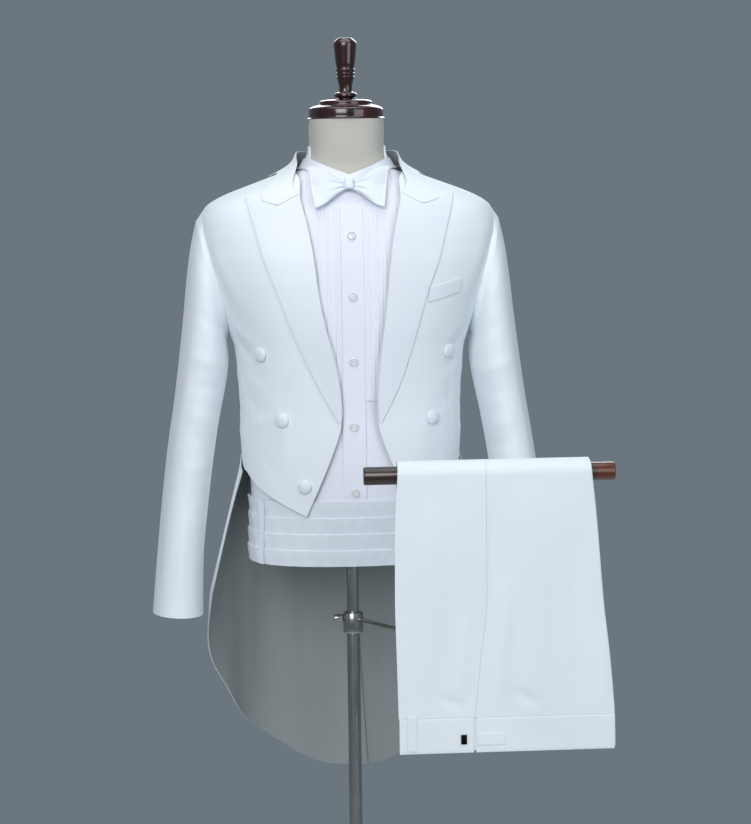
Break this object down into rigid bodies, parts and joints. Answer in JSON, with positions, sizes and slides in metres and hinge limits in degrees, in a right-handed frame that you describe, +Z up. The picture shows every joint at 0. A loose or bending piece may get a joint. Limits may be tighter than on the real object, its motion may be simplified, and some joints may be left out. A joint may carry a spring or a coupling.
{
  "type": "tuxedo on dress form stand",
  "caption": "Tailcoat with peaked satin lapels, pleated shirt, bow tie and cummerbund on a limbless form, trousers folded over its rail.",
  "frame": {"origin": "centre of the round base's underside, on the pole's axis", "axes": "+Z up along the pole, -Y to the front of the coat, +X to the side where the trousers hang"},
  "size_m": [0.6795, 0.489, 1.618],
  "materials": {
    "coat_cloth": "white worsted suiting, soft sheen",
    "satin": "white satin",
    "shirt_cloth": "white cotton poplin, slightly blue",
    "shirt_stud": "pearl",
    "black_metal": "black enamel",
    "form_linen": "cream linen jersey",
    "mahogany": "polished dark red",
    "dark_wood": "polished dark brown",
    "steel": "nickel plated"
  },
  "bodies": {
    "root": {"coat_front_left": "coat_cloth", "coat_front_right": "coat_cloth", "coat_side_left": "coat_cloth", "coat_side_right": "coat_cloth", "coat_back_left": "coat_cloth", "coat_back_right": "coat_cloth", "coat_tail_left": "coat_cloth", "coat_tail_right": "coat_cloth", "sleeve_left": "coat_cloth", "sleeve_right": "coat_cloth", "coat_collar": "coat_cloth", "trouser_under_leg": "coat_cloth", "trouser_back_panel": "coat_cloth", "trouser_front_panel": "coat_cloth", "waistband_back": "coat_cloth", "waistband_front": "coat_cloth", "belt_loop": "coat_cloth", "side_tab": "coat_cloth", "lapel_left": "satin", "lapel_right": "satin", "welt_pocket": "satin", "coat_button_1": "satin", "coat_button_2": "satin", "coat_button_3": "satin", "coat_button_4": "satin", "coat_button_5": "satin", "coat_button_6": "satin", "tie_band": "satin", "bow_tie_front": "satin", "bow_tie_back": "satin", "bow_tie_knot": "satin", "cummerbund_front": "satin", "cummerbund_back": "satin", "cummerbund_strip_left": "satin", "cummerbund_strip_right": "satin", "shirt_front_left": "shirt_cloth", "shirt_front_right": "shirt_cloth", "shirt_back": "shirt_cloth", "shirt_bib_left": "shirt_cloth", "shirt_bib_right": "shirt_cloth", "shirt_placket": "shirt_cloth", "shirt_collar": "shirt_cloth", "shirt_stud_1": "shirt_stud", "shirt_stud_2": "shirt_stud", "shirt_stud_3": "shirt_stud", "shirt_stud_4": "shirt_stud", "shirt_stud_5": "shirt_stud", "waist_fastener": "black_metal", "form_torso": "form_linen", "neck_cap": "mahogany", "rail_bar": "dark_wood", "stand_base": "steel", "lower_pole": "steel", "upper_pole": "steel", "pole_clamp": "steel", "thumb_screw": "steel", "rail_arm": "steel", "rail_upright": "steel"}
  },
  "joints": []
}
